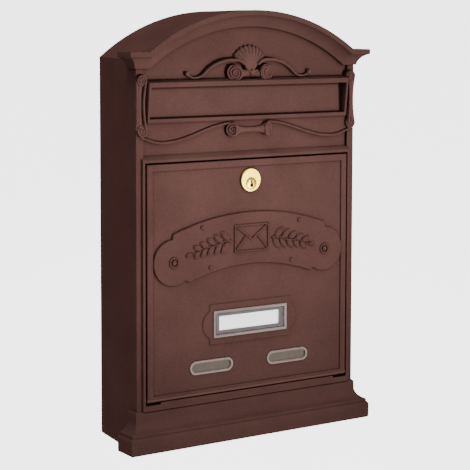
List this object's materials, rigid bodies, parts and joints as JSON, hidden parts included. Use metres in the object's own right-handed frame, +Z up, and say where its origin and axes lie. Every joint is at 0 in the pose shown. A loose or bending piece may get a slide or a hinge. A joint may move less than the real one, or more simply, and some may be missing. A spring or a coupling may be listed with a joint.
{
  "type": "wall mailbox",
  "caption": "Cast wall letterbox with an arched cornice, scroll relief, a letter slot with a swinging flap and a drop-down front door with a cam lock.",
  "frame": {"origin": "centre of the four wall holes, on the back of the housing", "axes": "+X to the right seen from the front, +Y into the wall, +Z up; the front faces -Y"},
  "size_m": [0.3084, 0.0942, 0.458],
  "materials": {
    "body_paint": "brown textured powder coat on cast aluminium",
    "housing_paint": "brown textured powder coat on cast aluminium",
    "flap_paint": "brown powder coat on sheet aluminium",
    "brass": "satin yellow brass",
    "zinc_steel": "bright zinc plated steel",
    "clear_plastic": "clear acrylic",
    "card": "blank white name card",
    "tray_plastic": "pale moulded plastic"
  },
  "bodies": {
    "box": {"housing": "housing_paint", "front_frame": "body_paint", "frame_screws": "zinc_steel", "flap_rod": "zinc_steel", "rod_keeper_left": "zinc_steel", "rod_keeper_right": "zinc_steel", "keeper_screws": "zinc_steel", "hinge_pin_left": "zinc_steel", "hinge_pin_right": "zinc_steel"},
    "flap": {"letter_flap": "flap_paint"},
    "door": {"door": "body_paint", "lock_body": "brass", "lock_washer": "zinc_steel", "lock_nut": "zinc_steel", "name_window": "clear_plastic", "name_card": "card", "name_holder": "tray_plastic", "view_window_left": "clear_plastic", "view_window_right": "clear_plastic"},
    "lock": {"lock_plug": "brass", "lock_cam": "zinc_steel", "cam_screw": "zinc_steel"}
  },
  "joints": [
    {"name": "door_hinge", "type": "hinge", "parent": "box", "child": "door", "pos_m": [0, -0.0796, -0.1657], "axis": [1, 0, 0], "range_deg": [0, 95]},
    {"name": "flap_hinge", "type": "hinge", "parent": "box", "child": "flap", "pos_m": [0, -0.0786, 0.1608], "axis": [1, 0, 0], "range_deg": [0, 70]},
    {"name": "lock_turn", "type": "hinge", "parent": "door", "child": "lock", "pos_m": [0, -0.08, 0.0536], "axis": [0, 1, 0], "range_deg": [0, 90]}
  ]
}
